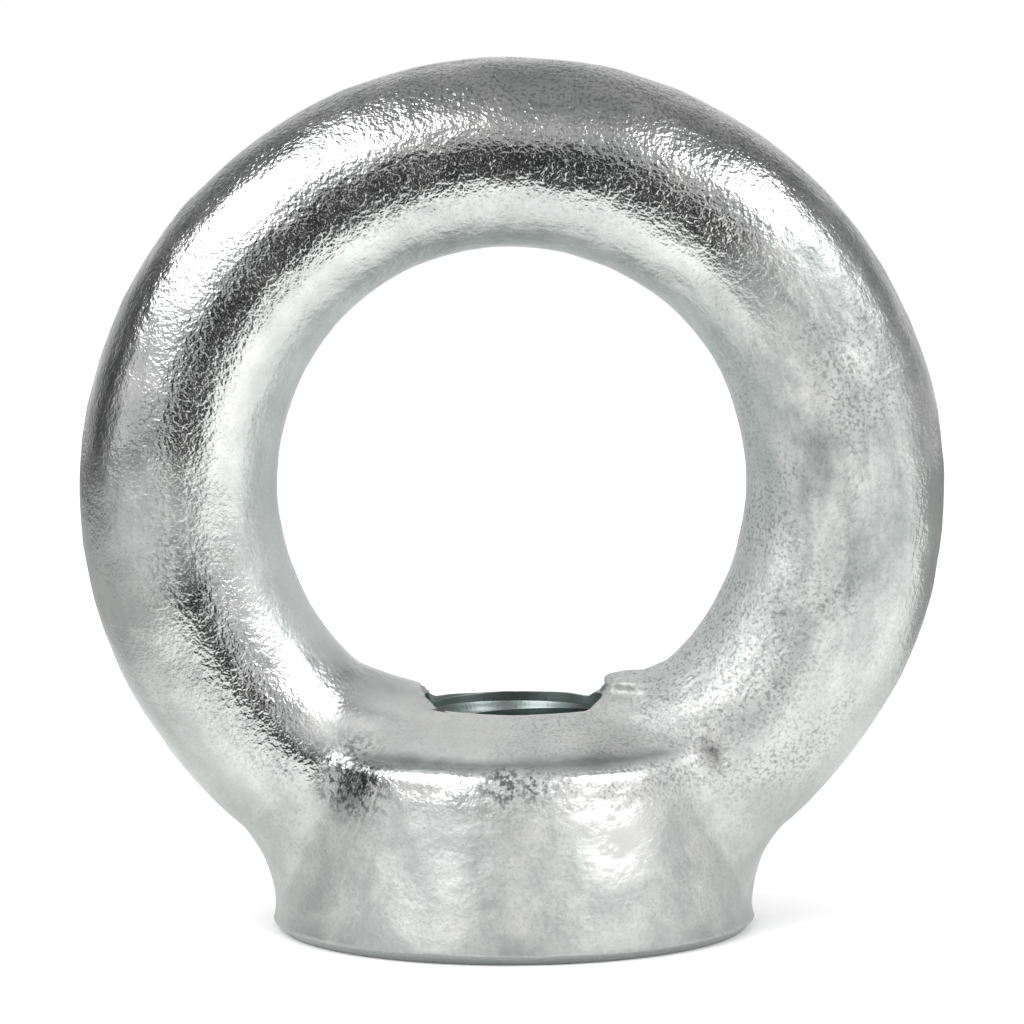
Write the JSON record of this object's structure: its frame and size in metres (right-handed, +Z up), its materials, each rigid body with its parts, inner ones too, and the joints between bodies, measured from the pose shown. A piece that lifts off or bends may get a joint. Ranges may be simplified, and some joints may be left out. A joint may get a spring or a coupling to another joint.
{
  "type": "lifting eye nut",
  "caption": "Forged lifting eye nut: a closed round eye above a domed hub with a tapped through hole and a flat seat, for screwing onto a stud to take a hook or shackle.",
  "frame": {"origin": "centre of the seat, on the thread's axis", "axes": "+Z up along the thread's axis from the seat to the eye, +Y along the way through the eye, +X across the eye"},
  "size_m": [0.036, 0.0202, 0.0362],
  "materials": {
    "zinc_steel": "zinc plated over a drop-forged surface, bright and finely pitted"
  },
  "bodies": {
    "root": {"eye_nut": "zinc_steel"}
  },
  "joints": []
}
